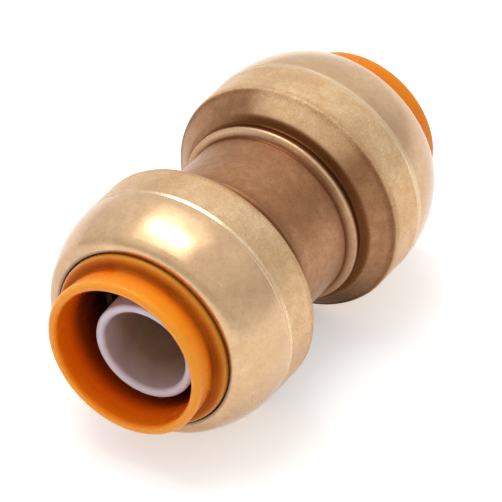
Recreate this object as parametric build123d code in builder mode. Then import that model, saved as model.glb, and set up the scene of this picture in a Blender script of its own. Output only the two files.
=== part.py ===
"""Straight push to connect coupling that joins two plain tubes of the same size.

The common axis of both tubes lies along Y and the origin is the middle of the coupling.
The two ends are alike. Each one is drawn as outlines of radius against distance from
the middle, and revolved about the axis:

    body             one brass forging: waist, two bulges and a spigot for each cap
    retaining_cap    brass dome crimped over the spigot, it clamps the grab ring
    release_collar   plastic ring that is pushed in to lift the teeth off the tube
    grab_ring        stainless ring with slanted teeth that hold the tube
    oring_protector  plastic spacer between the teeth and the O-ring
    oring            rubber seal against the outside of the tube
    tube_liner       plastic sleeve that stiffens the tube from inside
"""

import os
from math import asin, cos, degrees, radians, sin

from build123d import *

os.makedirs("parts", exist_ok=True)

# ---------------------------------------------------------------- the tube it is made for
tube_radius = 7.94
tube_bore_radius = 6.15

# ---------------------------------------------------------------- lengths along the axis
waist_half_length = 4.55
step_ring_length = 1.65
shoulder_length = 2.5
bulge_length = 4.9
dome_length = 7.0
collar_reach = 4.24

stop_web_half_thickness = 1.25
spigot_length = 2.6
protector_length = 4.15
grab_ring_thickness = 0.4
cap_lip_thickness = 1.6

# ---------------------------------------------------------------- walls, heights and sections
waist_wall = 2.05
waterway_radius = 4.9
step_height = 0.95
step_groove_depth = 0.2
shoulder_foot_height = 0.72
oring_section_radius = 1.45
oring_squeeze = 0.34
protector_ledge = 0.48
protector_rim_width = 0.2
protector_foot_width = 1.4
spigot_wall = 1.82
cap_skirt_wall = 1.1
mouth_land = 0.2
crimp_depth = 0.38
crimp_width = 1.0

collar_wall = 1.15
collar_flare = 0.26
collar_barrel_wall = 2.35
collar_flange_height = 0.95
collar_flange_thickness = 0.9
collar_nose_wall = 1.75
collar_shoulder_height = 0.75
collar_lead_in_depth = 2.3
collar_lead_in_height = 0.25

tooth_count = 12
tooth_slot_width = 1.3
tooth_bite = 0.3
tooth_slant = 1.4
tooth_root_margin = 0.3
tooth_travel_room = 0.75

liner_wall = 1.05
liner_flange_thickness = 1.2
liner_tip_recess = 2.9
liner_lean_share = 0.4758
liner_lean_direction = 34.5

# ---------------------------------------------------------------- clearances
socket_clearance = 0.16
guide_clearance = 0.21
liner_clearance = 0.2
liner_seat_margin = 0.03
flange_side_clearance = 0.25
gland_clearance = 0.02
gland_side_clearance = 0.1
spacer_clearance = 0.05
clamp_clearance = 0.02
spigot_clearance = 0.03
mouth_clearance = 0.25
chamber_clearance = 0.15
nose_clearance = 0.16
collar_end_clearance = 0.05
collar_stop_clearance = 0.1

# ---------------------------------------------------------------- rounded edges
seam_round = 0.15
dome_edge_round = 1.7
mouth_round = 0.12
shoulder_round = 0.5
shoulder_foot_round = 0.4
step_round = 0.35
lip_round = 0.35
collar_shoulder_round = 0.55
collar_shoulder_land = 0.04
small_chamfer = 0.3

# ---------------------------------------------------------------- places along the axis
step_end = waist_half_length + step_ring_length
shoulder_distance = step_end + shoulder_length
seam_distance = shoulder_distance + bulge_length
mouth_distance = seam_distance + dome_length
lip_distance = mouth_distance + collar_reach

spigot_end = seam_distance + spigot_length
protector_foot = spigot_end - protector_length
gland_width = 2 * (oring_section_radius + gland_side_clearance)
gland_floor = protector_foot - gland_width
grab_ring_top = spigot_end + grab_ring_thickness
cap_shoulder = grab_ring_top + clamp_clearance
cap_lip_back = mouth_distance - cap_lip_thickness
collar_flange_top = cap_lip_back - collar_end_clearance
collar_travel = collar_flange_top - collar_flange_thickness - grab_ring_top - collar_stop_clearance
liner_tip_distance = lip_distance - liner_tip_recess

# ---------------------------------------------------------------- radii
socket_radius = tube_radius + socket_clearance
oring_inner_radius = tube_radius - oring_squeeze
oring_centre_radius = oring_inner_radius + oring_section_radius
gland_radius = oring_centre_radius + oring_section_radius + gland_clearance
waist_radius = socket_radius + waist_wall
step_radius = waist_radius + step_height
shoulder_foot_radius = step_radius + shoulder_foot_height

guide_radius = tube_radius + guide_clearance
lead_in_radius = guide_radius + collar_lead_in_height
neck_radius = guide_radius + collar_wall
lip_radius = neck_radius + collar_flare
barrel_radius = guide_radius + collar_barrel_wall
mouth_radius = barrel_radius + mouth_clearance
collar_neck_round = barrel_radius - neck_radius - collar_shoulder_round - collar_shoulder_land
collar_flange_radius = barrel_radius + collar_flange_height
chamber_radius = collar_flange_radius + chamber_clearance

tooth_tip_radius = tube_radius - tooth_bite
tooth_root_radius = barrel_radius
tooth_gradient = tooth_slant / (tooth_root_radius - tooth_tip_radius)

# The protector covers the gland, and its rim starts outside the roots of the teeth.
protector_radius = max(
    gland_radius + protector_ledge,
    tooth_root_radius + tooth_root_margin + protector_rim_width,
)
protector_seat_radius = protector_radius + spacer_clearance
spigot_radius = protector_seat_radius + spigot_wall
skirt_radius = spigot_radius + spigot_clearance
body_radius = skirt_radius + cap_skirt_wall
dome_end_radius = mouth_radius + mouth_land

liner_radius = tube_bore_radius - liner_clearance
liner_bore_radius = liner_radius - liner_wall
liner_flange_radius = socket_radius - flange_side_clearance

# The liner's tip leans across part of the room between it and the collar.
liner_tip_swing = liner_lean_share * (guide_radius - liner_radius)
liner_lean = degrees(asin(liner_tip_swing / (liner_tip_distance - stop_web_half_thickness)))
liner_seat_play = liner_flange_radius * sin(radians(liner_lean)) + liner_seat_margin
liner_flange_middle = stop_web_half_thickness + liner_seat_play + liner_flange_thickness / 2

# ---------------------------------------------------------------- the two ends
# In each end's plane, x is the radius and y is the distance from the middle.
ENDS = {
    "front": Plane(origin=(0, 0, 0), x_dir=(1, 0, 0), z_dir=(0, 0, -1)),
    "rear": Plane(origin=(0, 0, 0), x_dir=(1, 0, 0), z_dir=(0, 0, 1)),
}


def crimp_outline(wall_radius):
    """Corners of the rolled-in crimp below a wall, from the seam towards the mouth."""
    start = seam_distance + (spigot_length - crimp_width) / 2
    taper = crimp_depth / 2
    return [
        (wall_radius, start),
        (wall_radius - crimp_depth, start + taper),
        (wall_radius - crimp_depth, start + crimp_width - taper),
        (wall_radius, start + crimp_width),
    ]


def round_corner(outline, corner, radius):
    """Round one corner of a finished outline."""
    nearest = outline.vertices().sort_by_distance(Vector(corner))[0]
    fillet(nearest, radius=radius)


def make_body():
    """Forged body: each half is one outline, and the two halves join at the stop web."""
    with BuildPart() as body:
        for end_plane in ENDS.values():
            with BuildSketch(end_plane):
                with BuildLine():
                    outside = FilletPolyline(
                        (skirt_radius, seam_distance),
                        (body_radius, seam_distance),
                        (body_radius, shoulder_distance),
                        (shoulder_foot_radius, step_end + shoulder_foot_round),
                        (step_radius - step_groove_depth, step_end - step_round / 2),
                        (step_radius, waist_half_length + step_ring_length / 2),
                        (step_radius - step_round / 2, waist_half_length + step_round),
                        (waist_radius, waist_half_length),
                        (waist_radius, 0),
                        radius=[
                            seam_round,
                            shoulder_round,
                            shoulder_foot_round,
                            step_round,
                            step_round,
                            step_round,
                            step_round,
                        ],
                    )
                    Polyline(
                        outside @ 1,
                        (waterway_radius, 0),
                        (waterway_radius, stop_web_half_thickness),
                        (socket_radius, stop_web_half_thickness),
                        (socket_radius, gland_floor),
                        (gland_radius, gland_floor),
                        (gland_radius, protector_foot),
                        (protector_seat_radius, protector_foot),
                        (protector_seat_radius, spigot_end),
                        (spigot_radius, spigot_end),
                        *reversed(crimp_outline(spigot_radius)),
                        (spigot_radius, seam_distance),
                        outside @ 0,
                    )
                make_face()
            revolve(axis=Axis.Y)
    return body.part


def make_retaining_cap(end_plane):
    """Dome of two tangent arcs, a skirt over the spigot, a clamping shoulder and a lip."""
    fall = body_radius - dome_end_radius - dome_edge_round
    run = dome_length - dome_edge_round
    centre_distance = (fall**2 + run**2) / (2 * fall)
    turn = asin(run / centre_distance)
    arcs_meet = (
        dome_end_radius + dome_edge_round * cos(turn),
        mouth_distance - dome_edge_round + dome_edge_round * sin(turn),
    )
    with BuildPart() as cap:
        with BuildSketch(end_plane) as outline:
            with BuildLine():
                TangentArc((body_radius, seam_distance), arcs_meet, tangent=(0, 1))
                TangentArc(
                    arcs_meet,
                    (dome_end_radius, mouth_distance),
                    tangent=(-sin(turn), cos(turn)),
                )
                Polyline(
                    (dome_end_radius, mouth_distance),
                    (mouth_radius, mouth_distance),
                    (mouth_radius, cap_lip_back),
                    (chamber_radius, cap_lip_back),
                    (chamber_radius, cap_shoulder),
                    (skirt_radius, cap_shoulder),
                    *reversed(crimp_outline(skirt_radius)),
                    (skirt_radius, seam_distance),
                    (body_radius, seam_distance),
                )
            make_face()
            round_corner(outline, (body_radius, seam_distance), seam_round)
            round_corner(outline, (mouth_radius, mouth_distance), mouth_round)
        revolve(axis=Axis.Y)
    return cap.part


def make_release_collar(end_plane):
    """Collar: flared neck, rounded shoulder in the mouth, hidden flange and slanted nose."""
    nose_radius = guide_radius + collar_nose_wall
    nose_foot = grab_ring_top + nose_clearance
    nose_outer_end = nose_foot - tooth_gradient * (tooth_root_radius - nose_radius)
    nose_inner_end = nose_foot - tooth_gradient * (tooth_root_radius - guide_radius)
    shoulder_top = mouth_distance + collar_shoulder_height
    with BuildPart() as collar:
        with BuildSketch(end_plane):
            with BuildLine():
                outside = FilletPolyline(
                    (barrel_radius, collar_flange_top),
                    (barrel_radius, shoulder_top),
                    (neck_radius, shoulder_top),
                    (lip_radius, lip_distance),
                    (lead_in_radius, lip_distance),
                    (lead_in_radius, lip_distance - collar_lead_in_depth),
                    radius=[collar_shoulder_round, collar_neck_round, lip_round, lip_round],
                )
                Polyline(
                    outside @ 1,
                    (guide_radius, lip_distance - collar_lead_in_depth - collar_lead_in_height),
                    (guide_radius, nose_inner_end),
                    (nose_radius, nose_outer_end),
                    (nose_radius, collar_flange_top - collar_flange_thickness),
                    (collar_flange_radius, collar_flange_top - collar_flange_thickness),
                    (collar_flange_radius, collar_flange_top),
                    outside @ 0,
                )
            make_face()
        revolve(axis=Axis.Y)
    return collar.part


def make_grab_ring(end_plane):
    """Clamped flat rim with teeth that slant inwards, away from the mouth."""
    rim_radius = skirt_radius - clamp_clearance
    slot_root_radius = tooth_root_radius - tooth_slot_width / 2
    slot_length = slot_root_radius
    with BuildPart() as ring:
        with BuildSketch(end_plane):
            with BuildLine():
                Polyline(
                    (rim_radius, spigot_end),
                    (rim_radius, grab_ring_top),
                    (tooth_root_radius, grab_ring_top),
                    (tooth_tip_radius, grab_ring_top - tooth_slant),
                    (tooth_tip_radius, spigot_end - tooth_slant),
                    (tooth_root_radius, spigot_end),
                    close=True,
                )
            make_face()
        revolve(axis=Axis.Y)
        slot_plane = Plane(
            origin=end_plane.from_local_coords((0, grab_ring_top, 0)),
            x_dir=end_plane.x_dir,
            z_dir=end_plane.y_dir,
        )
        with BuildSketch(slot_plane):
            with PolarLocations(slot_root_radius - slot_length / 2, tooth_count):
                SlotCenterToCenter(slot_length, tooth_slot_width)
        extrude(amount=-(tooth_slant + 2 * grab_ring_thickness), mode=Mode.SUBTRACT)
    return ring.part


def make_oring_protector(end_plane):
    """Spacer that carries the grab ring's rim and leaves a cone free below the teeth."""
    tooth_room = tooth_slant + grab_ring_thickness + tooth_travel_room
    with BuildPart() as protector:
        with BuildSketch(end_plane) as outline:
            with BuildLine():
                Polyline(
                    (guide_radius, protector_foot),
                    (protector_radius, protector_foot),
                    (protector_radius, spigot_end - clamp_clearance),
                    (protector_radius - protector_rim_width, spigot_end - clamp_clearance),
                    (guide_radius + protector_foot_width, spigot_end - tooth_room),
                    (guide_radius, spigot_end - tooth_room),
                    close=True,
                )
            make_face()
            foot_corners = outline.vertices().group_by(Axis.Y)[0]
            chamfer(foot_corners, length=small_chamfer)
        revolve(axis=Axis.Y)
    return protector.part


def make_oring(end_plane):
    """Seal of round section that rests in the gland, a little tighter than the tube."""
    with BuildPart() as oring:
        with BuildSketch(end_plane):
            with Locations((oring_centre_radius, gland_floor + gland_width / 2)):
                Circle(oring_section_radius)
        revolve(axis=Axis.Y)
    return oring.part


def make_tube_liner(end_plane):
    """Loose sleeve with a flange, which leans in its seat until a tube slides over it."""
    lean = radians(liner_lean)
    side = radians(liner_lean_direction)
    outward = end_plane.y_dir
    sideways = Vector(cos(side), 0, -sin(side))
    liner_plane = Plane(
        origin=outward * liner_flange_middle,
        x_dir=sideways * cos(lean) - outward * sin(lean),
        z_dir=(sideways * cos(lean) - outward * sin(lean)).cross(
            outward * cos(lean) + sideways * sin(lean)
        ),
    )
    half_flange = liner_flange_thickness / 2
    tip = liner_tip_distance - liner_flange_middle
    with BuildPart() as liner:
        with BuildSketch(liner_plane) as outline:
            with BuildLine():
                Polyline(
                    (liner_bore_radius, -half_flange),
                    (liner_flange_radius, -half_flange),
                    (liner_flange_radius, half_flange),
                    (liner_radius, half_flange),
                    (liner_radius, tip),
                    (liner_bore_radius, tip),
                    close=True,
                )
            make_face()
            tip_corners = outline.vertices().group_by(Axis.Y)[-1]
            fillet(tip_corners, radius=lip_round)
        revolve(axis=Axis(liner_plane.origin, liner_plane.y_dir))
    return liner.part


END_PIECES = {
    "retaining_cap": make_retaining_cap,
    "release_collar": make_release_collar,
    "grab_ring": make_grab_ring,
    "oring_protector": make_oring_protector,
    "oring": make_oring,
    "tube_liner": make_tube_liner,
}

body_part = make_body()
body_part.label = "body"
export_step(body_part, "parts/body.step")

for end_name, plane in ENDS.items():
    for piece_name, make_piece in END_PIECES.items():
        piece = make_piece(plane)
        piece.label = f"{end_name}_{piece_name}"
        export_step(piece, f"parts/{piece.label}.step")

tube_depth = lip_distance - liner_flange_middle - liner_flange_thickness / 2
print(f"overall length {2 * lip_distance:.2f}, largest diameter {2 * body_radius:.2f}")
print(f"collar travel {collar_travel:.2f}, depth that a tube enters {tube_depth:.2f}")
print(f"collar lead-in radius {lead_in_radius:.2f}, liner radius {liner_radius:.2f}")
print(f"liner pivot {liner_flange_middle:.3f}, liner tip {liner_tip_distance:.2f}, lean {liner_lean:.3f}")
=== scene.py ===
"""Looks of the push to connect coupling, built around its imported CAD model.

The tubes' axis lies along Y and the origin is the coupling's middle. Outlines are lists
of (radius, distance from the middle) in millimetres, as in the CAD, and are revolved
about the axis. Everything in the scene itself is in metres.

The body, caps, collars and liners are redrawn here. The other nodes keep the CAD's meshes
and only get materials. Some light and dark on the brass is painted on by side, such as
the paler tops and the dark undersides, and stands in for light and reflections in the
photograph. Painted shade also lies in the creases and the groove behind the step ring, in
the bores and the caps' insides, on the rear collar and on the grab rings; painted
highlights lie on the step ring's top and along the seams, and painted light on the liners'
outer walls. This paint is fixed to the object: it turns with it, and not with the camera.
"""

import math

import bpy
from mathutils import Matrix, Vector, noise


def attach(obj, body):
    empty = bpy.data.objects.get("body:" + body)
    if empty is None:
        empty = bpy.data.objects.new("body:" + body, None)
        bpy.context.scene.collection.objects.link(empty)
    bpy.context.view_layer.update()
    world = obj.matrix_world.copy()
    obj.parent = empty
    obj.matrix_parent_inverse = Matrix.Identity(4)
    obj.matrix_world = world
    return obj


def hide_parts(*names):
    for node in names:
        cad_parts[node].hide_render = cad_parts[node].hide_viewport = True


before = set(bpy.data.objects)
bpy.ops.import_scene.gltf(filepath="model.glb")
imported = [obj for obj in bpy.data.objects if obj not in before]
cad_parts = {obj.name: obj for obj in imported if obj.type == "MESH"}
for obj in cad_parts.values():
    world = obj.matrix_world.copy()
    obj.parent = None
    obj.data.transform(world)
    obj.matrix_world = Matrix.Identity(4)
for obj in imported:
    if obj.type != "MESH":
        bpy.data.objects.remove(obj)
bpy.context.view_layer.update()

MM = 0.001
ENDS = {"front": -1, "rear": 1}

# ---------------------------------------------------------------- sizes in millimetres
# These are the CAD's sizes, apart from some that follow the photograph more closely: the
# rounds, the step ring and its groove, the seams' bevels, the gap at the mouth and the
# collars' lead-in.

# The body: its forged outside, then the spigot and the machined inside.
BODY_RADIUS = 14.0
WAIST_RADIUS = 10.15
WAIST_HALF = 4.55
STEP_RADIUS = 11.1
STEP_DISTANCE = 5.0
GROOVE_RADIUS = 10.9
GROOVE_DISTANCE = 6.125
STEP_ROUND = 0.35
SHOULDER_FOOT = (11.82, 6.6)
SHOULDER_FOOT_ROUND = 0.4
SHOULDER_DISTANCE = 8.7
SHOULDER_ROUND = 0.8
SEAM_DISTANCE = 13.6
SEAM_BEVEL_LENGTH = 0.35
SEAM_BEVEL_DEPTHS = {"front": 0.13, "rear": 0.04}
SEAM_BEVEL_ROUND = 0.3
SPIGOT_RADIUS = 12.87
SPIGOT_END = 16.2
PROTECTOR_SEAT_RADIUS = 11.05
PROTECTOR_FOOT = 12.05
GLAND_RADIUS = 10.52
GLAND_FLOOR = 8.95
SOCKET_RADIUS = 8.1
WEB_HALF = 1.25
WATERWAY_RADIUS = 4.9

# The crimp that holds a cap's skirt on the spigot.
CRIMP_START = 14.4
CRIMP_END = 15.4
CRIMP_DEPTH = 0.38
CRIMP_SLOPE = CRIMP_DEPTH / 2

# The caps.
SKIRT_RADIUS = 12.9
CAP_SHOULDER = 16.62
CHAMBER_RADIUS = 11.6
CAP_LIP_BACK = 19.0
MOUTH_RADIUS = 10.68
MOUTH_DISTANCE = 20.6
MOUTH_ROUND = 0.08
DOME_END_RADIUS = 10.95
DOME_EDGE_ROUND = 1.7
DOME_STEPS = 36

# The dome's points begin here, past the seam's bevel.
DOME_START = SEAM_DISTANCE + SEAM_BEVEL_LENGTH + 0.1

# The release collars.
BARREL_RADIUS = 10.56
COLLAR_SHOULDER = 21.35
COLLAR_SHOULDER_ROUND = 0.75
NECK_RADIUS = 9.3
NECK_ROUND = 0.12
LIP_RADIUS = 9.56
LIP_DISTANCE = 24.84
LIP_ROUND = 0.5
LEAD_IN_RADIUS = 8.4
LEAD_IN_END = 22.94
LEAD_IN_FOOT = 21.79
LEAD_IN_ROUND = 2.0
GUIDE_RADIUS = 8.15
NOSE_INNER = 15.61
NOSE_RADIUS = 9.9
NOSE_OUTER = 16.466
FLANGE_BACK = 18.05
FLANGE_TOP = 18.95
COLLAR_FLANGE_RADIUS = 11.45

# The tube liners. They lean by degrees, in a direction counted from +X towards -Z.
LINER_BORE = 4.9
LINER_RADIUS = 5.95
LINER_FLANGE_RADIUS = 7.85
LINER_PIVOT = 2.277
LINER_HALF_FLANGE = 0.6
LINER_TIP = 21.94
LINER_OUTER_ROUND = 0.35
LINER_INNER_ROUND = 0.5
LINER_LEAN = 2.9
LINER_LEAN_DIRECTION = 34.5

# The forging's unevenness: it ends short of the seam, after a fade.
FORGED_END = SEAM_DISTANCE - 0.2
FORGED_FADE = 0.8
BROAD_DENT_SIZE = 3.2
BROAD_DENT_DEPTH = 0.05
FINE_DENT_SIZE = 1.1
FINE_DENT_DEPTH = 0.02
FINE_DENT_OFFSET = Vector((7, 3, 5))

# The turned meshes: their points around the axis, around a corner and along a run.
SEGMENTS = 320
ROUND_STEPS = 8
BEVEL_STEPS = 4
MOUTH_STEPS = 5
SPACING = 0.5
FORGED_SPACING = 0.4
MACHINED_SPACING = 2.5

# A long run also gets a point this close to each of its ends.
SUPPORT = 0.05

# Edges that turn by more than this are drawn sharp.
SHARP_DEGREES = 32

# Leeway where a place on an outline is compared with a size.
HAIR = 0.01

# Shade that lathe() writes near a bore: how far outside the bore's radius it starts and is
# full, how deep the liner's goes, and where the lip's bright face starts.
MOUTH_SHADE = (0.4, 0.15)
COLLAR_SHADE = (0.35, 0.05)
LINER_SHADE = (0.45, 0.05)
LINER_SHADE_DEPTH = 4.0
LIP_FACE = LIP_DISTANCE - 0.02


# ---------------------------------------------------------------- outlines and lathe
def arc(before, corner, after, radius, steps):
    """Points of the round that replaces a corner."""
    back = (before - corner).normalized()
    ahead = (after - corner).normalized()
    half = back.angle(ahead) / 2
    centre = corner + (back + ahead).normalized() * radius / math.sin(half)
    start = corner + back * radius / math.tan(half) - centre
    end = corner + ahead * radius / math.tan(half) - centre
    sweep = math.pi - 2 * half
    points = []
    for step in range(steps + 1):
        turned = step / steps * sweep
        mixed = start * math.sin(sweep - turned) + end * math.sin(turned)
        points.append(centre + mixed / math.sin(sweep))
    return points


def closed_outline(corners, spacing=SPACING):
    """Rounds the corners given as (radius, distance, round) and divides the straight runs."""
    places = [Vector(corner[:2]) for corner in corners]
    outline = []
    for index, corner in enumerate(corners):
        before = places[index - 1]
        after = places[(index + 1) % len(places)]
        if len(corner) > 2:
            outline += arc(before, places[index], after, corner[2], ROUND_STEPS)
        else:
            outline.append(places[index])
    return divided(outline, spacing)


def divided(outline, spacing):
    """Adds points on long runs, close to their ends as well, so that flats stay flat.

    spacing is a number, or a function of a run's middle that gives one.
    """
    points = []
    for index, start in enumerate(outline):
        end = outline[(index + 1) % len(outline)]
        length = (end - start).length
        points.append(start)
        if length <= 4 * SUPPORT:
            continue
        step = spacing(start.lerp(end, 0.5)) if callable(spacing) else spacing
        pieces = max(1, math.ceil(length / step))
        inside = [SUPPORT / length, 1 - SUPPORT / length]
        inside += [piece / pieces for piece in range(1, pieces)]
        points += [start.lerp(end, share) for share in sorted(inside)]
    return points


def lathe(name, outline, side, placing=Matrix.Identity(4), shift=None, inside=None):
    """Closed ring from an outline. side is -1 at the front and 1 at the rear.

    placing moves the whole ring, and shift(place, radius, distance) moves one point of it.
    inside(radius, distance) is the number that the materials read as the attribute
    "inside": how far a point is hidden from the light, 0 to 1, or -1 on a liner's outer
    wall.
    """
    count = len(outline)
    vertices = []
    for segment in range(SEGMENTS):
        angle = 2 * math.pi * segment / SEGMENTS
        for radius, distance in outline:
            place = Vector((radius * math.cos(angle), side * distance, radius * math.sin(angle)))
            if shift:
                place += shift(place, radius, distance)
            vertices.append(placing @ (place * MM))
    faces = []
    for segment in range(SEGMENTS):
        this_row = segment * count
        next_row = (segment + 1) % SEGMENTS * count
        for index in range(count):
            after = (index + 1) % count
            face = (this_row + index, next_row + index, next_row + after, this_row + after)
            faces.append(face if side > 0 else face[::-1])
    mesh = bpy.data.meshes.new(name)
    mesh.from_pydata(vertices, [], faces)
    mesh.shade_smooth()
    mesh.set_sharp_from_angle(angle=math.radians(SHARP_DEGREES))
    if inside:
        hidden = [inside(radius, distance) for radius, distance in outline]
        attribute = mesh.attributes.new("inside", "FLOAT", "POINT")
        attribute.data.foreach_set("value", hidden * SEGMENTS)
    piece = bpy.data.objects.new(name, mesh)
    bpy.context.scene.collection.objects.link(piece)
    return piece


def ramped(value, start, end):
    """0 at start and 1 at end, straight between them and level beyond them."""
    return max(0.0, min(1.0, (value - start) / (end - start)))


# ---------------------------------------------------------------- node materials
class Shader:
    """A Principled material with short calls for the nodes that are used here."""

    def __init__(self, name, **sockets):
        self.material = bpy.data.materials.new(name)
        self.material.use_nodes = True
        self.tree = self.material.node_tree
        self.surface = self.tree.nodes["Principled BSDF"]
        for socket, value in sockets.items():
            self.surface.inputs[socket.replace("_", " ")].default_value = value
        self.coordinates = self.node("ShaderNodeTexCoord").outputs["Object"]

    def node(self, kind, **settings):
        node = self.tree.nodes.new(kind)
        for setting, value in settings.items():
            setattr(node, setting, value)
        return node

    def link(self, source, target):
        self.tree.links.new(source, target)

    def feed(self, **sources):
        """Links sources to the Principled shader's sockets."""
        for socket, source in sources.items():
            self.link(source, self.surface.inputs[socket.replace("_", " ")])

    # Patterns
    def noise(self, size_mm, detail, roughness, stretch=None):
        """Noise whose features are about size_mm across."""
        texture = self.node("ShaderNodeTexNoise")
        texture.inputs["Scale"].default_value = 1 / (size_mm * MM)
        texture.inputs["Detail"].default_value = detail
        texture.inputs["Roughness"].default_value = roughness
        source = self.coordinates
        if stretch:
            mapping = self.node("ShaderNodeMapping")
            mapping.inputs["Scale"].default_value = stretch
            self.link(source, mapping.inputs["Vector"])
            source = mapping.outputs["Vector"]
        self.link(source, texture.inputs["Vector"])
        return texture.outputs["Fac"]

    def bump(self, height, depth_mm, strength, below=None):
        node = self.node("ShaderNodeBump")
        node.inputs["Strength"].default_value = strength
        node.inputs["Distance"].default_value = depth_mm * MM
        self.link(height, node.inputs["Height"])
        if below:
            self.link(below, node.inputs["Normal"])
        return node.outputs["Normal"]

    # Numbers
    def maths(self, operation, first, second=None):
        node = self.node("ShaderNodeMath", operation=operation)
        for socket, value in zip(node.inputs, (first, second)):
            if isinstance(value, (int, float)):
                socket.default_value = value
            elif value is not None:
                self.link(value, socket)
        return node.outputs["Value"]

    def times(self, first, second):
        return self.maths("MULTIPLY", first, second)

    def strongest(self, first, *others):
        for other in others:
            first = self.maths("MAXIMUM", first, other)
        return first

    def spread(self, source, low, high, to_low=0.0, to_high=1.0):
        """Maps low..high to to_low..to_high smoothly."""
        node = self.node("ShaderNodeMapRange", interpolation_type="SMOOTHSTEP")
        limits = {"From Min": low, "From Max": high, "To Min": to_low, "To Max": to_high}
        for socket, value in limits.items():
            node.inputs[socket].default_value = value
        self.link(source, node.inputs["Value"])
        return node.outputs["Result"]

    def band(self, source, rise, fall):
        """Goes up to 1 over rise and down to 0 again over fall, each a (start, end)."""
        return self.times(self.spread(source, *rise), self.spread(source, *fall, 1, 0))

    # Colours
    def mix(self, factor, first, second, blend="MIX", share=None):
        """Second over first; where the factor is 1, share says how much of it shows."""
        if share is not None:
            factor = self.times(factor, share)
        node = self.node("ShaderNodeMix", data_type="RGBA", blend_type=blend)
        sockets = (node.inputs[0], node.inputs[6], node.inputs[7])
        for socket, value in zip(sockets, (factor, first, second)):
            if isinstance(value, tuple):
                socket.default_value = (*value, 1)
            else:
                self.link(value, socket)
        return node.outputs[2]

    def ramp(self, source, stops):
        """Colours along a value; each stop is (value, colour)."""
        low, high = stops[0][0], stops[-1][0]
        span = self.node("ShaderNodeMapRange")
        span.inputs["From Min"].default_value = low
        span.inputs["From Max"].default_value = high
        self.link(source, span.inputs["Value"])
        ramp = self.node("ShaderNodeValToRGB")
        elements = ramp.color_ramp.elements
        while len(elements) < len(stops):
            elements.new(0.5)
        for element, (value, colour) in zip(elements, stops):
            element.position = (value - low) / (high - low)
            element.color = (*colour, 1)
        self.link(span.outputs["Result"], ramp.inputs["Fac"])
        return ramp.outputs["Color"]

    # Places on the object
    def axes(self):
        """The object's own X, Y and Z, in metres."""
        split = self.node("ShaderNodeSeparateXYZ")
        self.link(self.coordinates, split.inputs["Vector"])
        return split.outputs

    def radius_and_distance(self):
        """Radius from the axis and distance from the middle, in millimetres."""
        axes = self.axes()
        across = [self.maths("POWER", axes[name], 2.0) for name in ("X", "Z")]
        radius = self.maths("SQRT", self.maths("ADD", *across))
        distance = self.maths("ABSOLUTE", axes["Y"])
        return [self.maths("DIVIDE", value, MM) for value in (radius, distance)]

    def signed_distance(self):
        """Distance from the middle in millimetres, negative at the front."""
        return self.maths("DIVIDE", self.axes()["Y"], MM)

    def side(self, radius, direction):
        """How far a place lies towards a direction (x, z) across the axis, -1 to 1."""
        axes = self.axes()
        x_share, z_share = direction
        across = self.times(axes["X"], x_share / MM)
        along = self.times(axes["Z"], z_share / MM)
        return self.maths("DIVIDE", self.maths("ADD", across, along), radius)

    def inside(self):
        """How far a point is hidden from the light, as lathe() wrote it."""
        return self.node("ShaderNodeAttribute", attribute_name="inside").outputs["Fac"]


BRASS_SHINE = (0.85, 0.70, 0.55, 1.0)
# Pale worn brass, which also stands in for a painted highlight at the seams.
WORN_AND_HIGHLIT_BRASS = (0.84, 0.66, 0.44)

# Directions (x, z) across the axis that the painted light and shade placed by side goes by.
UPWARD = (0.22, 0.97)
LEFT = (-1.0, 0.0)
REAR_SHADED_SIDE = (0.94, 0.34)
FRONT_SHADED_SIDE = (-0.9, 0.43)

# Where tones, painted shade and painted highlights change along the axis, in millimetres from
# the middle. Each pair is where a change starts and ends. A band has one pair where it sets in
# and one where it fades out.
WAIST_DARKENS = (2.9, 4.4)
CONE_STARTS = (6.3, 6.9)
UNDERSIDE_ENDS = (8.3, 9.0)
BULGE_STARTS = (8.5, 8.8)
WAIST_CREASE = ((4.1, 4.35), (4.55, 4.66))
STEP_CREST = ((4.6, 4.85), (4.95, 5.25))
STEP_RECESS = ((5.2, 5.8), (6.4, 6.8))
GROOVE_CREASE = ((5.85, 6.0), (6.2, 6.35))
SHOULDER_EDGE = ((7.8, 8.6), (8.8, 9.8))
SHOULDER_MATT = ((7.9, 8.4), (9.0, 9.8))
COLLAR_GROOVE = ((21.15, 21.3), (21.6, 21.9))

# The same, with a sign: negative at the front.
FRONT_TO_REAR = (-1.0, 1.0)
FRONT_HALF = (-10, 0)
REAR_HALF = (0, 10)

# The worn edge with its painted highlight on both sides of a seam, in millimetres from the seam.
WORN_HIGHLIT_FULL = 0.3
WORN_HIGHLIT_OUT = 0.45

# The collar's colour by distance from the middle, on its outside and in its bore. Along the
# outside the colour is darker next to the cap's mouth, has a painted highlight on the shoulder's
# crest and painted shade in the groove before the neck; along the bore it is painted shade that
# deepens inwards.
COLLAR_OUTSIDE = (
    (20.3, (0.34, 0.085, 0.002)),
    (20.7, (0.52, 0.17, 0.012)),
    (21.02, (0.66, 0.24, 0.03)),
    (21.25, (0.50, 0.12, 0.003)),
    (21.5, (0.32, 0.035, 0.0)),
    (21.8, (0.42, 0.06, 0.0)),
    (22.3, (0.76, 0.155, 0.001)),
    (23.0, (0.90, 0.25, 0.005)),
    (24.2, (0.94, 0.30, 0.010)),
    (24.8, (0.95, 0.36, 0.040)),
)
COLLAR_BORE_SHADING = (
    (17.0, (0.05, 0.006, 0.0)),
    (20.5, (0.34, 0.04, 0.0)),
    (22.0, (0.72, 0.09, 0.0)),
    (23.3, (0.96, 0.18, 0.001)),
    (24.8, (0.96, 0.22, 0.002)),
)


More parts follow.
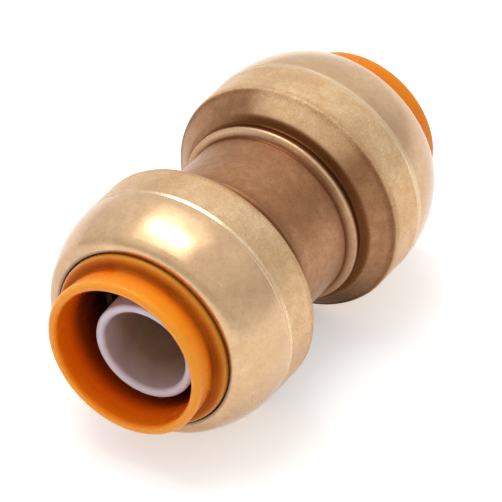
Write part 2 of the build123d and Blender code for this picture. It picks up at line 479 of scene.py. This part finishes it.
def forged_brass():
    """Blasted hot forging: pale on the bulges, browner on the waist, fine speckle, with painted
    light and shade.
    """
    shader = Shader(
        "forged_brass_blasted",
        Metallic=1.0,
        Specular_Tint=BRASS_SHINE,
        Coat_Roughness=0.3,
    )
    radius, distance = shader.radius_and_distance()
    upward = shader.side(radius, UPWARD)
    patches = shader.spread(shader.noise(5.0, 4, 0.6), 0.35, 0.65)
    blotches = shader.spread(shader.noise(1.1, 4, 0.7), 0.38, 0.64)
    speckle = shader.spread(shader.noise(0.18, 3, 0.65), 0.40, 0.68)
    flecks = shader.spread(shader.noise(0.26, 3, 0.7), 0.56, 0.70)

    # Waist, cones and bulges. The waist, darker still towards its ends, and the cones are browner
    # than the bulges: partly the forging's own tone, partly painted shade where the bulges face
    # each other.
    pale = shader.mix(patches, (0.61, 0.38, 0.185), (0.71, 0.475, 0.265))
    pale = shader.mix(blotches, pale, (0.54, 0.31, 0.14), share=0.5)
    brown = shader.mix(patches, (0.34, 0.15, 0.055), (0.42, 0.21, 0.088))
    brown = shader.mix(blotches, brown, (0.30, 0.115, 0.04), share=0.6)
    brown = shader.mix(shader.spread(distance, *WAIST_DARKENS, 0, 0.5), brown, (0.20, 0.07, 0.02))
    cone = shader.mix(patches, (0.31, 0.14, 0.052), (0.38, 0.185, 0.078))
    cone = shader.mix(blotches, cone, (0.23, 0.095, 0.032), share=0.5)
    # Painted shadow: the cones' undersides go nearly black.
    painted_underside_shadow = shader.times(
        shader.spread(upward, -0.75, -0.1, 1, 0), shader.spread(distance, *UNDERSIDE_ENDS, 1, 0)
    )
    cone = shader.mix(painted_underside_shadow, cone, (0.05, 0.017, 0.004))
    # Painted light: the cones' tops are as pale as the bulges.
    cone = shader.mix(shader.spread(upward, 0.80, 0.96), cone, pale)
    colour = shader.mix(shader.spread(distance, *CONE_STARTS), brown, cone)
    # Painted light: the bulges' tops are paler.
    painted_top_light = shader.spread(upward, 0.35, 0.9)
    bulge = shader.mix(painted_top_light, pale, (1.05, 1.09, 1.12), "MULTIPLY")
    colour = shader.mix(shader.spread(distance, *BULGE_STARTS), colour, bulge)

    # Painted shade in the recess behind the step ring, weaker on the left, where more light falls
    to_left = shader.side(radius, LEFT)
    painted_recess_shade = shader.band(distance, *STEP_RECESS)
    painted_recess_shade = shader.times(painted_recess_shade, shader.spread(to_left, 0.2, 0.8, 1, 0.15))
    colour = shader.mix(painted_recess_shade, colour, (0.13, 0.042, 0.009))

    # Painted shade on the shoulder edge's top and in the creases, worn brass with a painted
    # highlight at the seam, and a painted highlight on the step ring's crest
    # Painted shade: the top of the shoulder's edge is darkened.
    edge = shader.band(distance, *SHOULDER_EDGE)
    edge = shader.times(edge, shader.spread(upward, 0.5, 0.95))
    colour = shader.mix(edge, colour, (0.85, 0.85, 0.87), "MULTIPLY")
    # Painted shade in the creases at the waist's ends and in the groove.
    painted_crease_shade = shader.strongest(
        shader.band(distance, *WAIST_CREASE), shader.band(distance, *GROOVE_CREASE)
    )
    colour = shader.mix(painted_crease_shade, colour, (0.085, 0.03, 0.009), share=0.65)
    # Worn brass with a painted highlight along the seam.
    worn_and_highlit = shader.spread(distance, SEAM_DISTANCE - WORN_HIGHLIT_OUT, SEAM_DISTANCE - WORN_HIGHLIT_FULL)
    colour = shader.mix(worn_and_highlit, colour, WORN_AND_HIGHLIT_BRASS, share=0.5)
    # Painted highlight on the step ring's crest, brighter on top and towards the rear.
    painted_crest_highlight = shader.band(distance, *STEP_CREST)
    painted_crest_highlight = shader.times(painted_crest_highlight, shader.spread(upward, 0.3, 0.95, 0.45, 1))
    towards_rear = shader.spread(shader.signed_distance(), *FRONT_TO_REAR, 0.25, 1)
    painted_crest_highlight = shader.times(painted_crest_highlight, towards_rear)
    colour = shader.mix(painted_crest_highlight, colour, (0.80, 0.54, 0.33), share=0.75)

    # Fine marks over all of it
    colour = shader.mix(speckle, colour, (0.66, 0.60, 0.54), "MULTIPLY", share=0.5)
    colour = shader.mix(flecks, colour, (1.5, 1.55, 1.6), "MULTIPLY", share=0.35)
    dents = shader.noise(0.7, 3, 0.55)
    grain = shader.noise(0.10, 3, 0.65)
    normal = shader.bump(dents, depth_mm=0.05, strength=0.55)
    normal = shader.bump(grain, depth_mm=0.02, strength=0.45, below=normal)

    matt = shader.band(distance, *SHOULDER_MATT)
    roughness = shader.maths(
        "ADD", shader.spread(speckle, 0, 1, 0.34, 0.46), shader.times(matt, 0.3)
    )
    smoothed = shader.strongest(shader.times(painted_crest_highlight, 0.4), worn_and_highlit)
    uncoated = shader.strongest(painted_recess_shade, painted_underside_shadow, shader.times(matt, 0.5), painted_crease_shade)
    shader.feed(
        Base_Color=colour,
        Roughness=shader.maths("SUBTRACT", roughness, shader.times(smoothed, 0.14)),
        Coat_Weight=shader.spread(uncoated, 0, 1, 0.6, 0.1),
        Normal=normal,
    )
    return shader.material


def polished_brass():
    """Drawn and polished cap: soft reflections, faint turning lines, light handling marks, and
    painted shade on one side and inside.
    """
    shader = Shader(
        "polished_brass_cap",
        Metallic=1.0,
        Specular_Tint=BRASS_SHINE,
        Coat_Weight=0.95,
        Coat_Roughness=0.2,
        Coat_IOR=1.8,
    )
    radius, distance = shader.radius_and_distance()
    along = shader.signed_distance()
    patches = shader.spread(shader.noise(4.0, 3, 0.55), 0.35, 0.65)
    cloud = shader.spread(shader.noise(0.5, 3, 0.6), 0.45, 0.7)
    mottle = shader.spread(shader.noise(1.5, 4, 0.65), 0.40, 0.66)
    flecks = shader.spread(shader.noise(0.22, 3, 0.7), 0.55, 0.70)
    colour = shader.mix(patches, (0.585, 0.35, 0.155), (0.665, 0.42, 0.205))
    colour = shader.mix(cloud, colour, (0.40, 0.235, 0.11), share=0.35)
    colour = shader.mix(mottle, colour, (0.50, 0.285, 0.12), share=0.4)
    colour = shader.mix(flecks, colour, (0.80, 0.60, 0.38), share=0.25)

    # Painted shade: each cap is darker on one side
    at_rear = shader.spread(along, *REAR_HALF)
    at_front = shader.spread(along, *FRONT_HALF, 1, 0)
    painted_side_shade = shader.strongest(
        shader.times(shader.spread(shader.side(radius, REAR_SHADED_SIDE), 0.7, 0.98), at_rear),
        shader.times(shader.spread(shader.side(radius, FRONT_SHADED_SIDE), 0.7, 0.98), at_front),
    )
    colour = shader.mix(painted_side_shade, colour, (0.84, 0.80, 0.75), "MULTIPLY")
    # Worn brass with a painted highlight next to the seam.
    worn_and_highlit = shader.spread(distance, SEAM_DISTANCE + WORN_HIGHLIT_FULL, SEAM_DISTANCE + WORN_HIGHLIT_OUT, 0.4, 0)
    colour = shader.mix(worn_and_highlit, colour, WORN_AND_HIGHLIT_BRASS)
    # Painted shade inside the cap and on the mouth's wall.
    colour = shader.mix(shader.inside(), colour, (0.10, 0.05, 0.02))

    lines = shader.noise(0.9, 3, 0.6, stretch=(0.02, 6.0, 0.02))
    grain = shader.noise(0.15, 2, 0.5)
    normal = shader.bump(lines, depth_mm=0.004, strength=0.25)
    normal = shader.bump(grain, depth_mm=0.004, strength=0.3, below=normal)
    shader.feed(
        Base_Color=colour,
        Roughness=shader.spread(patches, 0, 1, 0.20, 0.30),
        Normal=normal,
    )
    return shader.material


def orange_plastic():
    """Moulded orange acetal: satin, a little light passes through its thin lip; with painted
    shade and a painted highlight.
    """
    shader = Shader(
        "orange_collar_plastic",
        Subsurface_Weight=0.55,
        Subsurface_Scale=1.3 * MM,
        Subsurface_Radius=(1.0, 0.22, 0.02),
        IOR=1.5,
        Specular_Tint=(1.0, 0.55, 0.15, 1.0),
    )
    _, distance = shader.radius_and_distance()
    patches = shader.spread(shader.noise(3.0, 3, 0.5), 0.35, 0.65)
    outside = shader.ramp(distance, COLLAR_OUTSIDE)
    colour = shader.mix(patches, outside, (0.92, 0.34, 0.02), share=0.12)
    # Painted shade: the rear collar is darker.
    rear = shader.spread(shader.signed_distance(), *FRONT_TO_REAR)
    colour = shader.mix(rear, colour, (0.84, 0.82, 0.9), "MULTIPLY")
    # Painted shade in the bore, deepening inwards.
    colour = shader.mix(shader.inside(), colour, shader.ramp(distance, COLLAR_BORE_SHADING))
    drag = shader.noise(0.8, 2, 0.5, stretch=(1.0, 0.25, 1.0))
    grain = shader.noise(0.10, 2, 0.5)
    normal = shader.bump(drag, depth_mm=0.012, strength=0.3)
    normal = shader.bump(grain, depth_mm=0.004, strength=0.35, below=normal)
    matt_groove = shader.times(shader.band(distance, *COLLAR_GROOVE), 0.35)
    shader.feed(
        Base_Color=colour,
        Roughness=shader.maths("ADD", shader.spread(patches, 0, 1, 0.26, 0.34), matt_groove),
        Normal=normal,
    )
    return shader.material


def liner_plastic():
    """Milky plastic of the liner: painted shade makes the bore warm and darker, painted light
    makes the outer wall pale and bluish.
    """
    shader = Shader(
        "milky_liner_plastic",
        Subsurface_Weight=0.3,
        Subsurface_Scale=0.8 * MM,
        Subsurface_Radius=(1.0, 0.8, 0.7),
        IOR=1.5,
    )
    patches = shader.spread(shader.noise(2.5, 3, 0.5), 0.35, 0.65)
    tip = shader.mix(patches, (0.65, 0.615, 0.70), (0.70, 0.655, 0.74))
    # Painted shade: the bore turns warm and dark from the tip inwards.
    bore = shader.mix(patches, (0.44, 0.27, 0.18), (0.50, 0.32, 0.22))
    colour = shader.mix(shader.inside(), tip, bore)
    # Painted light: the outer wall, shaded and lit orange by the collar, is painted pale and
    # bluish.
    painted_wall_light = shader.spread(shader.inside(), -1, 0, 1, 0)
    colour = shader.mix(painted_wall_light, colour, (0.72, 0.78, 0.90))
    grain = shader.noise(0.12, 2, 0.5)
    shader.feed(
        Base_Color=colour,
        Roughness=shader.spread(patches, 0, 1, 0.36, 0.46),
        Normal=shader.bump(grain, depth_mm=0.004, strength=0.35),
    )
    return shader.material


def spring_steel():
    """Stamped stainless strip: drawn grain along the strip, painted dark and warm as shade and
    the collar's orange reflection.
    """
    shader = Shader("stainless_grab_ring", Metallic=1.0)
    tint = shader.spread(shader.noise(1.6, 3, 0.5), 0.4, 0.7)
    grain = shader.noise(0.25, 3, 0.6, stretch=(1.0, 8.0, 1.0))
    shader.feed(
        # Painted shade and painted orange reflection: the steel is dark and warm, as inside the
        # collar.
        Base_Color=shader.mix(tint, (0.075, 0.052, 0.034), (0.048, 0.031, 0.018)),
        Roughness=shader.spread(grain, 0.3, 0.7, 0.6, 0.75),
        Normal=shader.bump(grain, depth_mm=0.006, strength=0.4),
    )
    return shader.material


def spacer_plastic():
    """Plain grey moulded spacer behind the teeth."""
    shader = Shader("grey_spacer_plastic", IOR=1.48)
    tone = shader.spread(shader.noise(1.8, 3, 0.5), 0.35, 0.7)
    grain = shader.noise(0.12, 2, 0.5)
    shader.feed(
        Base_Color=shader.mix(tone, (0.16, 0.16, 0.165), (0.21, 0.21, 0.215)),
        Roughness=shader.spread(tone, 0, 1, 0.42, 0.55),
        Normal=shader.bump(grain, depth_mm=0.006, strength=0.4),
    )
    return shader.material


def seal_rubber():
    """Black rubber with a thin film of grease in patches."""
    shader = Shader("black_seal_rubber", IOR=1.5)
    grease = shader.spread(shader.noise(1.2, 3, 0.6), 0.4, 0.65)
    grain = shader.noise(0.15, 3, 0.6)
    shader.feed(
        Base_Color=shader.mix(grease, (0.012, 0.012, 0.013), (0.024, 0.023, 0.022)),
        Roughness=shader.spread(grease, 0, 1, 0.32, 0.62),
        Normal=shader.bump(grain, depth_mm=0.006, strength=0.35),
    )
    return shader.material


MATERIALS = {
    "forged_brass": forged_brass(),
    "polished_brass": polished_brass(),
    "collar_plastic": orange_plastic(),
    "liner_plastic": liner_plastic(),
    "spring_steel": spring_steel(),
    "spacer_plastic": spacer_plastic(),
    "seal_rubber": seal_rubber(),
}


def place_piece(piece, body, node, slot):
    """Finishes a piece that stands for a CAD node."""
    piece.data.materials.append(MATERIALS[slot])
    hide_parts(node)
    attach(piece, body)


# ---------------------------------------------------------------- the body
def is_forged(radius, distance):
    """Whether a place of the body's outline is on the forged outside, not machined."""
    distance = abs(distance)
    if radius < WAIST_RADIUS - HAIR or distance > FORGED_END:
        return False
    return radius > SPIGOT_RADIUS - HAIR or distance < SHOULDER_DISTANCE + HAIR


def body_spacing(middle):
    """Close points where the forged outside is uneven, few on the machined inside."""
    return FORGED_SPACING if is_forged(middle.x, middle.y) else MACHINED_SPACING


def forging_shift(place, radius, distance):
    """Shallow unevenness of the forged outside, always inwards."""
    if not is_forged(radius, distance):
        return Vector((0, 0, 0))
    broad = 0.5 + 0.5 * noise.noise(place / BROAD_DENT_SIZE)
    fine = 0.5 + 0.5 * noise.noise(place / FINE_DENT_SIZE + FINE_DENT_OFFSET)
    fade = min(1.0, (FORGED_END - abs(distance)) / FORGED_FADE)
    depth = fade * (BROAD_DENT_DEPTH * broad + FINE_DENT_DEPTH * fine)
    return Vector((place.x, 0, place.z)).normalized() * -depth


def body_half(end):
    """Corners of one half of the body's outline, from the waist's end round to the web."""
    return [
        (WAIST_RADIUS, WAIST_HALF, STEP_ROUND),
        (STEP_RADIUS, STEP_DISTANCE, STEP_ROUND),
        (GROOVE_RADIUS, GROOVE_DISTANCE, STEP_ROUND),
        (*SHOULDER_FOOT, SHOULDER_FOOT_ROUND),
        (BODY_RADIUS, SHOULDER_DISTANCE, SHOULDER_ROUND),
        (BODY_RADIUS, SEAM_DISTANCE - SEAM_BEVEL_LENGTH, SEAM_BEVEL_ROUND),
        (BODY_RADIUS - SEAM_BEVEL_DEPTHS[end], SEAM_DISTANCE),
        (SPIGOT_RADIUS, SEAM_DISTANCE),
        (SPIGOT_RADIUS, CRIMP_START),
        (SPIGOT_RADIUS - CRIMP_DEPTH, CRIMP_START + CRIMP_SLOPE),
        (SPIGOT_RADIUS - CRIMP_DEPTH, CRIMP_END - CRIMP_SLOPE),
        (SPIGOT_RADIUS, CRIMP_END),
        (SPIGOT_RADIUS, SPIGOT_END),
        (PROTECTOR_SEAT_RADIUS, SPIGOT_END),
        (PROTECTOR_SEAT_RADIUS, PROTECTOR_FOOT),
        (GLAND_RADIUS, PROTECTOR_FOOT),
        (GLAND_RADIUS, GLAND_FLOOR),
        (SOCKET_RADIUS, GLAND_FLOOR),
        (SOCKET_RADIUS, WEB_HALF),
        (WATERWAY_RADIUS, WEB_HALF),
    ]


front_half = [
    (radius, -distance, *rounding)
    for radius, distance, *rounding in reversed(body_half("front"))
]
body_outline = closed_outline(body_half("rear") + front_half, spacing=body_spacing)
body_piece = lathe("body_forging", body_outline, 1, shift=forging_shift)
place_piece(body_piece, "fitting", "body", "forged_brass")


# ---------------------------------------------------------------- the caps
def dome_points():
    """The cap's outside: a long arc from the seam and a tighter one into the mouth."""
    edge_steps = DOME_STEPS // 2
    fall = BODY_RADIUS - DOME_END_RADIUS - DOME_EDGE_ROUND
    run = MOUTH_DISTANCE - SEAM_DISTANCE - DOME_EDGE_ROUND
    centre_distance = (fall**2 + run**2) / (2 * fall)
    large = centre_distance + DOME_EDGE_ROUND
    turn = math.asin(run / centre_distance)
    points = []
    for step in range(DOME_STEPS):
        angle = turn * step / DOME_STEPS
        radius = BODY_RADIUS - large * (1 - math.cos(angle))
        points.append(Vector((radius, SEAM_DISTANCE + large * math.sin(angle))))
    edge_centre = Vector((DOME_END_RADIUS, MOUTH_DISTANCE - DOME_EDGE_ROUND))
    for step in range(edge_steps + 1):
        angle = turn + (math.pi / 2 - turn) * step / edge_steps
        points.append(edge_centre + DOME_EDGE_ROUND * Vector((math.cos(angle), math.sin(angle))))
    return points


def cap_outline(end):
    """Outline of a cap, from the seam over the dome into the mouth and back inside."""
    dome = [point for point in dome_points() if point.y > DOME_START]
    foot = Vector((BODY_RADIUS - SEAM_BEVEL_DEPTHS[end], SEAM_DISTANCE))
    bevel_end = Vector((BODY_RADIUS, SEAM_DISTANCE + SEAM_BEVEL_LENGTH))
    seam = [foot] + arc(foot, bevel_end, dome[0], SEAM_BEVEL_ROUND, BEVEL_STEPS)
    mouth_corner = Vector((MOUTH_RADIUS, MOUTH_DISTANCE))
    mouth_back = Vector((MOUTH_RADIUS, CAP_LIP_BACK))
    mouth = arc(dome[-1], mouth_corner, mouth_back, MOUTH_ROUND, MOUTH_STEPS)
    inside = [
        (MOUTH_RADIUS, CAP_LIP_BACK),
        (CHAMBER_RADIUS, CAP_LIP_BACK),
        (CHAMBER_RADIUS, CAP_SHOULDER),
        (SKIRT_RADIUS, CAP_SHOULDER),
        (SKIRT_RADIUS, CRIMP_END),
        (SKIRT_RADIUS - CRIMP_DEPTH, CRIMP_END - CRIMP_SLOPE),
        (SKIRT_RADIUS - CRIMP_DEPTH, CRIMP_START + CRIMP_SLOPE),
        (SKIRT_RADIUS, CRIMP_START),
        (SKIRT_RADIUS, SEAM_DISTANCE),
    ]
    return divided(seam + dome + mouth + [Vector(point) for point in inside], SPACING)


def cap_inside(radius, distance):
    """1 inside the cap and on the mouth's wall, fading out over the mouth's edge."""
    in_skirt = distance < CAP_SHOULDER + HAIR and radius < SKIRT_RADIUS + HAIR
    in_chamber = distance < CAP_LIP_BACK + HAIR and radius < CHAMBER_RADIUS + HAIR
    if in_skirt or in_chamber:
        return 1.0
    return ramped(radius - MOUTH_RADIUS, *MOUTH_SHADE)


for end, side in ENDS.items():
    piece = lathe(f"{end}_cap_dome", cap_outline(end), side, inside=cap_inside)
    place_piece(piece, "fitting", f"{end}_retaining_cap", "polished_brass")


# ---------------------------------------------------------------- the release collars
collar = closed_outline(
    [
        (BARREL_RADIUS, FLANGE_TOP),
        (BARREL_RADIUS, COLLAR_SHOULDER, COLLAR_SHOULDER_ROUND),
        (NECK_RADIUS, COLLAR_SHOULDER, NECK_ROUND),
        (LIP_RADIUS, LIP_DISTANCE, LIP_ROUND),
        (LEAD_IN_RADIUS, LIP_DISTANCE, LIP_ROUND),
        (LEAD_IN_RADIUS, LEAD_IN_END, LEAD_IN_ROUND),
        (GUIDE_RADIUS, LEAD_IN_FOOT, LEAD_IN_ROUND),
        (GUIDE_RADIUS, NOSE_INNER),
        (NOSE_RADIUS, NOSE_OUTER),
        (NOSE_RADIUS, FLANGE_BACK),
        (COLLAR_FLANGE_RADIUS, FLANGE_BACK),
        (COLLAR_FLANGE_RADIUS, FLANGE_TOP),
    ]
)


def collar_inside(radius, distance):
    """1 in the bore, fading out over the lip's inner round, and 0 on the lip's face."""
    if distance > LIP_FACE:
        return 0.0
    return ramped(radius - LEAD_IN_RADIUS, *COLLAR_SHADE)


for end, side in ENDS.items():
    piece = lathe(f"{end}_collar_ring", collar, side, inside=collar_inside)
    place_piece(piece, f"{end}_collar", f"{end}_release_collar", "collar_plastic")


# ---------------------------------------------------------------- the tube liners
def liner_placing(side):
    """Moves a liner drawn on the axis to its leaning place, about its flange's middle."""
    direction = math.radians(LINER_LEAN_DIRECTION)
    sideways = Vector((math.cos(direction), 0, -math.sin(direction)))
    axis = Vector((0, side, 0)).cross(sideways)
    pivot = Vector((0, side * LINER_PIVOT * MM, 0))
    turn = Matrix.Rotation(math.radians(LINER_LEAN), 4, axis)
    return Matrix.Translation(pivot) @ turn @ Matrix.Translation(-pivot)


liner = closed_outline(
    [
        (LINER_BORE, LINER_PIVOT - LINER_HALF_FLANGE),
        (LINER_FLANGE_RADIUS, LINER_PIVOT - LINER_HALF_FLANGE),
        (LINER_FLANGE_RADIUS, LINER_PIVOT + LINER_HALF_FLANGE),
        (LINER_RADIUS, LINER_PIVOT + LINER_HALF_FLANGE),
        (LINER_RADIUS, LINER_TIP, LINER_OUTER_ROUND),
        (LINER_BORE, LINER_TIP, LINER_INNER_ROUND),
    ]
)


def liner_inside(radius, distance):
    """-1 on the outer wall and flange, 0 to 0.5 over the tip's edge and up to 1 deeper in."""
    tip_start = LINER_TIP - LINER_INNER_ROUND
    if distance < tip_start and radius > LINER_BORE + HAIR:
        return -1.0
    at_edge = ramped(radius - LINER_BORE, *LINER_SHADE)
    deeper = ramped(distance, tip_start, tip_start - LINER_SHADE_DEPTH)
    return 0.5 * at_edge + 0.5 * deeper


for end, side in ENDS.items():
    placing = liner_placing(side)
    piece = lathe(f"{end}_liner_sleeve", liner, side, placing=placing, inside=liner_inside)
    place_piece(piece, f"{end}_liner", f"{end}_tube_liner", "liner_plastic")

# ---------------------------------------------------------------- CAD nodes that stay
for end in ENDS:
    for node, slot in (
        ("grab_ring", "spring_steel"),
        ("oring_protector", "spacer_plastic"),
        ("oring", "seal_rubber"),
    ):
        for material_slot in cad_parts[f"{end}_{node}"].material_slots:
            material_slot.material = MATERIALS[slot]

# ---------------------------------------------------------------- floor, light and camera
FLOOR_HALF_SIZE = 3.0
FLOOR_GREY = 0.85
FLOOR_LIFT = 0.4
WORLD_LEVEL = 0.7

WALL_RADIUS = 1.2
WALL_HEIGHT = 1.2
WALL_FOOT_FADE = 0.15
WALL_TOP_FADE = 0.45 * WALL_HEIGHT
WALL_SIDES = 96
WALL_SHADE = 0.8
WALL_LIT = 1.0
WALL_LIT_SIDE = (-0.6, 0.8)
WALL_LIT_FADE = (0.3 * WALL_RADIUS, 0.95 * WALL_RADIUS)

SENSOR_WIDTH = 36
CLIP_START = 0.01


def make_floor():
    half = FLOOR_HALF_SIZE
    level = -BODY_RADIUS * MM
    mesh = bpy.data.meshes.new("floor")
    corners = [(x * half, y * half, level) for x, y in ((-1, -1), (1, -1), (1, 1), (-1, 1))]
    mesh.from_pydata(corners, [], [(0, 1, 2, 3)])
    mesh.materials.append(floor_material())
    floor = bpy.data.objects.new("floor", mesh)
    bpy.context.scene.collection.objects.link(floor)


def seen_ray(tree):
    """1 for camera, glossy and transmission rays."""
    path = tree.nodes.new("ShaderNodeLightPath")
    either = tree.nodes.new("ShaderNodeMath")
    either.operation = "MAXIMUM"
    all_three = tree.nodes.new("ShaderNodeMath")
    all_three.operation = "MAXIMUM"
    tree.links.new(path.outputs["Is Camera Ray"], either.inputs[0])
    tree.links.new(path.outputs["Is Glossy Ray"], either.inputs[1])
    tree.links.new(either.outputs[0], all_three.inputs[0])
    tree.links.new(path.outputs["Is Transmission Ray"], all_three.inputs[1])
    return all_three.outputs[0]


def floor_material():
    """Pale floor that keeps the shadow; what is seen of it is lifted to white."""
    material = bpy.data.materials.new("floor_pale")
    material.use_nodes = True
    tree = material.node_tree
    tree.nodes.clear()
    output = tree.nodes.new("ShaderNodeOutputMaterial")
    diffuse = tree.nodes.new("ShaderNodeBsdfDiffuse")
    diffuse.inputs["Color"].default_value = (FLOOR_GREY, FLOOR_GREY, FLOOR_GREY, 1)
    glow = tree.nodes.new("ShaderNodeEmission")
    glow.inputs["Color"].default_value = (1, 1, 1, 1)
    strength = tree.nodes.new("ShaderNodeMath")
    strength.operation = "MULTIPLY"
    strength.inputs[1].default_value = FLOOR_LIFT
    both = tree.nodes.new("ShaderNodeAddShader")
    tree.links.new(seen_ray(tree), strength.inputs[0])
    tree.links.new(strength.outputs[0], glow.inputs["Strength"])
    tree.links.new(diffuse.outputs[0], both.inputs[0])
    tree.links.new(glow.outputs[0], both.inputs[1])
    tree.links.new(both.outputs[0], output.inputs["Surface"])
    return material


def make_world():
    """White where it is seen or reflected, and WORLD_LEVEL as light on matt surfaces."""
    world = bpy.data.worlds.new("studio")
    bpy.context.scene.world = world
    world.use_nodes = True
    tree = world.node_tree
    background = tree.nodes["Background"]
    background.inputs["Color"].default_value = (1, 1, 1, 1)
    strength = tree.nodes.new("ShaderNodeMapRange")
    strength.inputs["To Min"].default_value = WORLD_LEVEL
    strength.inputs["To Max"].default_value = 1.0
    tree.links.new(seen_ray(tree), strength.inputs["Value"])
    tree.links.new(strength.outputs["Result"], background.inputs["Strength"])


def facing_middle(place, along):
    """Places something at `place`, facing the object, with its X axis along `along`."""
    back = Vector(place).normalized()
    across = (Vector(along) - back * back.dot(Vector(along))).normalized()
    axes = Matrix((across, back.cross(across), back)).transposed().to_4x4()
    return Matrix.Translation(place) @ axes


def softbox(name, place, along, size, radiance):
    """Rectangular lamp of even brightness, `radiance` as seen from the object."""
    lamp = bpy.data.lights.new(name, "AREA")
    lamp.shape = "RECTANGLE"
    lamp.size, lamp.size_y = size
    lamp.energy = radiance * math.pi * size[0] * size[1]
    holder = bpy.data.objects.new(name, lamp)
    holder.matrix_world = facing_middle(place, along)
    bpy.context.scene.collection.objects.link(holder)


def studio_wall_material(name):
    """Grey glow, brighter behind the object to the left, clear at the top and the foot."""
    shader = Shader(name)
    tree = shader.tree
    tree.nodes.remove(shader.surface)
    axes = shader.axes()
    foot = (0.0, WALL_FOOT_FADE)
    top = (WALL_HEIGHT - WALL_TOP_FADE, WALL_HEIGHT)
    solid = shader.band(axes["Z"], foot, top)
    x_share, y_share = WALL_LIT_SIDE
    lit_side = shader.maths(
        "ADD", shader.times(axes["X"], x_share), shader.times(axes["Y"], y_share)
    )
    strength = shader.spread(lit_side, *WALL_LIT_FADE, WALL_SHADE, WALL_LIT)
    glow = shader.node("ShaderNodeEmission")
    clear = shader.node("ShaderNodeBsdfTransparent")
    both = shader.node("ShaderNodeMixShader")
    shader.link(strength, glow.inputs["Strength"])
    shader.link(solid, both.inputs["Fac"])
    shader.link(clear.outputs["BSDF"], both.inputs[1])
    shader.link(glow.outputs["Emission"], both.inputs[2])
    shader.link(both.outputs["Shader"], tree.nodes["Material Output"].inputs["Surface"])
    return shader.material


def make_studio_wall(name):
    """The studio's grey wall, a ring around the object. Only reflections show it."""
    vertices = []
    for height in (0.0, WALL_HEIGHT):
        for side in range(WALL_SIDES):
            angle = 2 * math.pi * side / WALL_SIDES
            x, y = WALL_RADIUS * math.cos(angle), WALL_RADIUS * math.sin(angle)
            vertices.append((x, y, height))
    faces = []
    for side in range(WALL_SIDES):
        after = (side + 1) % WALL_SIDES
        faces.append((side, after, after + WALL_SIDES, side + WALL_SIDES))
    mesh = bpy.data.meshes.new(name)
    mesh.from_pydata(vertices, [], faces)
    mesh.materials.append(studio_wall_material(name))
    wall = bpy.data.objects.new(name, mesh)
    wall.visible_camera = False
    wall.visible_diffuse = False
    wall.visible_transmission = False
    wall.visible_shadow = False
    bpy.context.scene.collection.objects.link(wall)


def make_camera(azimuth, elevation, distance, offset, lens):
    """Camera that looks from the photograph's angle; offset is the middle's place in view."""
    azimuth = math.radians(azimuth)
    elevation = math.radians(elevation)
    right = Vector((math.cos(azimuth), math.sin(azimuth), 0))
    ahead = Vector(
        (
            -math.sin(azimuth) * math.cos(elevation),
            math.cos(azimuth) * math.cos(elevation),
            -math.sin(elevation),
        )
    )
    up = right.cross(ahead)
    data = bpy.data.cameras.new("camera")
    data.sensor_width = SENSOR_WIDTH
    data.lens = lens
    data.clip_start = CLIP_START
    camera = bpy.data.objects.new("camera", data)
    place = -(right * offset[0] + up * offset[1] + ahead * distance)
    axes = Matrix((right, up, -ahead)).transposed().to_4x4()
    camera.matrix_world = Matrix.Translation(place) @ axes
    bpy.context.scene.collection.objects.link(camera)
    bpy.context.scene.camera = camera


make_floor()
make_world()
softbox(
    "top_softbox",
    place=(-0.13, 0.035, 0.6),
    along=(0.973, -0.23, 0),
    size=(0.40, 0.15),
    radiance=5.2,
)
softbox(
    "halo_softbox",
    place=(-0.13, 0.08, 0.62),
    along=(0.973, -0.23, 0),
    size=(0.62, 0.5),
    radiance=0.75,
)
softbox(
    "left_softbox",
    place=(-0.35, -0.25, 0.55),
    along=(0, 1, 0),
    size=(0.8, 0.5),
    radiance=0.2,
)
make_studio_wall("studio_wall")
make_camera(
    azimuth=31.614,
    elevation=37.625,
    distance=0.4938,
    offset=(-0.000575, 0.001384),
    lens=325.0,
)

bpy.context.scene.view_settings.view_transform = "Standard"
